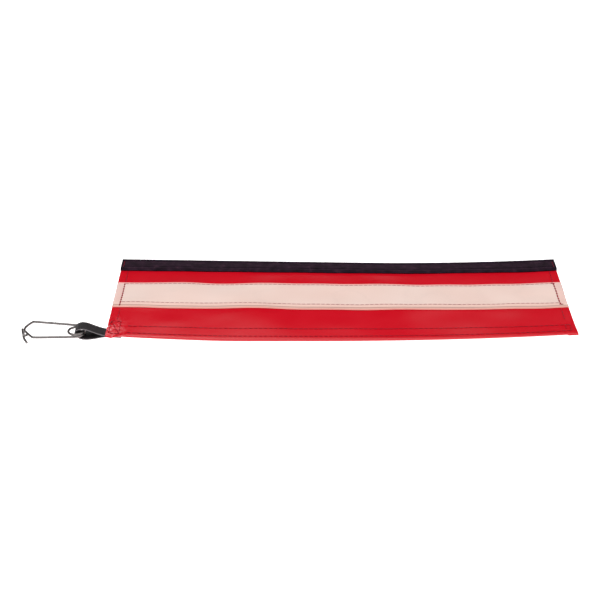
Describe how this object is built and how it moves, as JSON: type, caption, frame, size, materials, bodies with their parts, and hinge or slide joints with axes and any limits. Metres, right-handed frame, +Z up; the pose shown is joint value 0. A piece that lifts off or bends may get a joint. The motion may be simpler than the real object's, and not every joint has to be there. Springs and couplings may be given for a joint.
{
  "type": "wrap-around marker sleeve with snap hook",
  "caption": "Flat red coated-fabric sleeve with a reflective band, hook-and-loop edges that close round a rope or bar, and a wire snap hook on a strap at one corner.",
  "frame": {"origin": "the middle of the whole object's underside, with the sleeve lying flat", "axes": "+X along the sleeve away from the snap hook, +Y from the hook tape's edge to the loop tape's edge, +Z up"},
  "size_m": [0.5398, 0.1622, 0.0121],
  "materials": {
    "red_fabric": "PVC-coated polyester, satin, saturated red",
    "loop_pile": "black hook-and-loop tape, soft loop side, matt",
    "hook_pile": "black hook-and-loop tape, hook side, matt",
    "reflective": "silver retro-reflective tape that looks pale peach beside the red fabric",
    "thread": "dark red polyester thread",
    "strap": "smooth black strap with a paler cut edge",
    "spring_wire": "round spring wire, semi-bright"
  },
  "bodies": {
    "band": {"band_panel_far": "red_fabric", "reflective_far": "reflective", "reflective_stitching_far": "thread"},
    "band_near": {"band_panel_near": "red_fabric", "reflective_near": "reflective", "reflective_stitching_near": "thread"},
    "far_red": {"far_red_panel": "red_fabric", "far_red_hem_stitching_left": "thread", "far_red_hem_stitching_right": "thread"},
    "far_flap": {"far_flap": "red_fabric", "loop_tape": "loop_pile", "loop_tape_stitching": "thread"},
    "near_red": {"near_red_panel": "red_fabric", "near_red_hem_stitching_left": "thread", "near_red_hem_stitching_right": "thread"},
    "near_flap": {"near_flap": "red_fabric", "hook_tape": "hook_pile", "hook_tape_stitching": "thread", "strap_anchor": "strap", "strap_stitching": "thread"},
    "strap": {"strap_loop": "strap"},
    "snap_hook": {"snap_hook_body": "spring_wire"},
    "gate": {"snap_hook_gate": "spring_wire"}
  },
  "joints": [
    {"name": "wrap", "type": "hinge", "parent": "band", "child": "band_near", "pos_m": [0.04145, 0.00563, 0.0023], "axis": [1, 0, 0], "range_deg": [0, 68.6]},
    {"name": "fold_4", "type": "hinge", "parent": "band", "child": "far_red", "pos_m": [0.04145, 0.03063, 0.0023], "axis": [-1, 0, 0], "range_deg": [0, 78.5]},
    {"name": "fold_5", "type": "hinge", "parent": "far_red", "child": "far_flap", "pos_m": [0.04145, 0.05563, 0.0023], "axis": [-1, 0, 0], "range_deg": [0, 79.4]},
    {"name": "fold_2", "type": "hinge", "parent": "band_near", "child": "near_red", "pos_m": [0.04145, -0.01937, 0.0023], "axis": [1, 0, 0], "range_deg": [0, 64.1]},
    {"name": "flap", "type": "hinge", "parent": "near_red", "child": "near_flap", "pos_m": [0.04145, -0.04337, 0.0023], "axis": [1, 0, 0], "range_deg": [0, 69.6]},
    {"name": "strap_bend", "type": "hinge", "parent": "near_flap", "child": "strap", "pos_m": [-0.18855, -0.06152, 0.001], "axis": [0, 1, 0], "range_deg": [-60, 90]},
    {"name": "hook_turn", "type": "hinge", "parent": "strap", "child": "snap_hook", "pos_m": [-0.20765, -0.06152, 0.00325], "axis": [0, 1, 0], "range_deg": [0, 100]},
    {"name": "gate_swing", "type": "hinge", "parent": "snap_hook", "child": "gate", "pos_m": [-0.21545, -0.06152, 0.00325], "axis": [0, 0, -1], "range_deg": [0, 28], "stiffness_Nm_per_rad": 0.5}
  ],
  "couplings": [
    {"joint": "fold_4", "follows": "wrap", "ratio": 1.1428},
    {"joint": "fold_5", "follows": "wrap", "ratio": 1.1559},
    {"joint": "fold_2", "follows": "wrap", "ratio": 0.933}
  ]
}
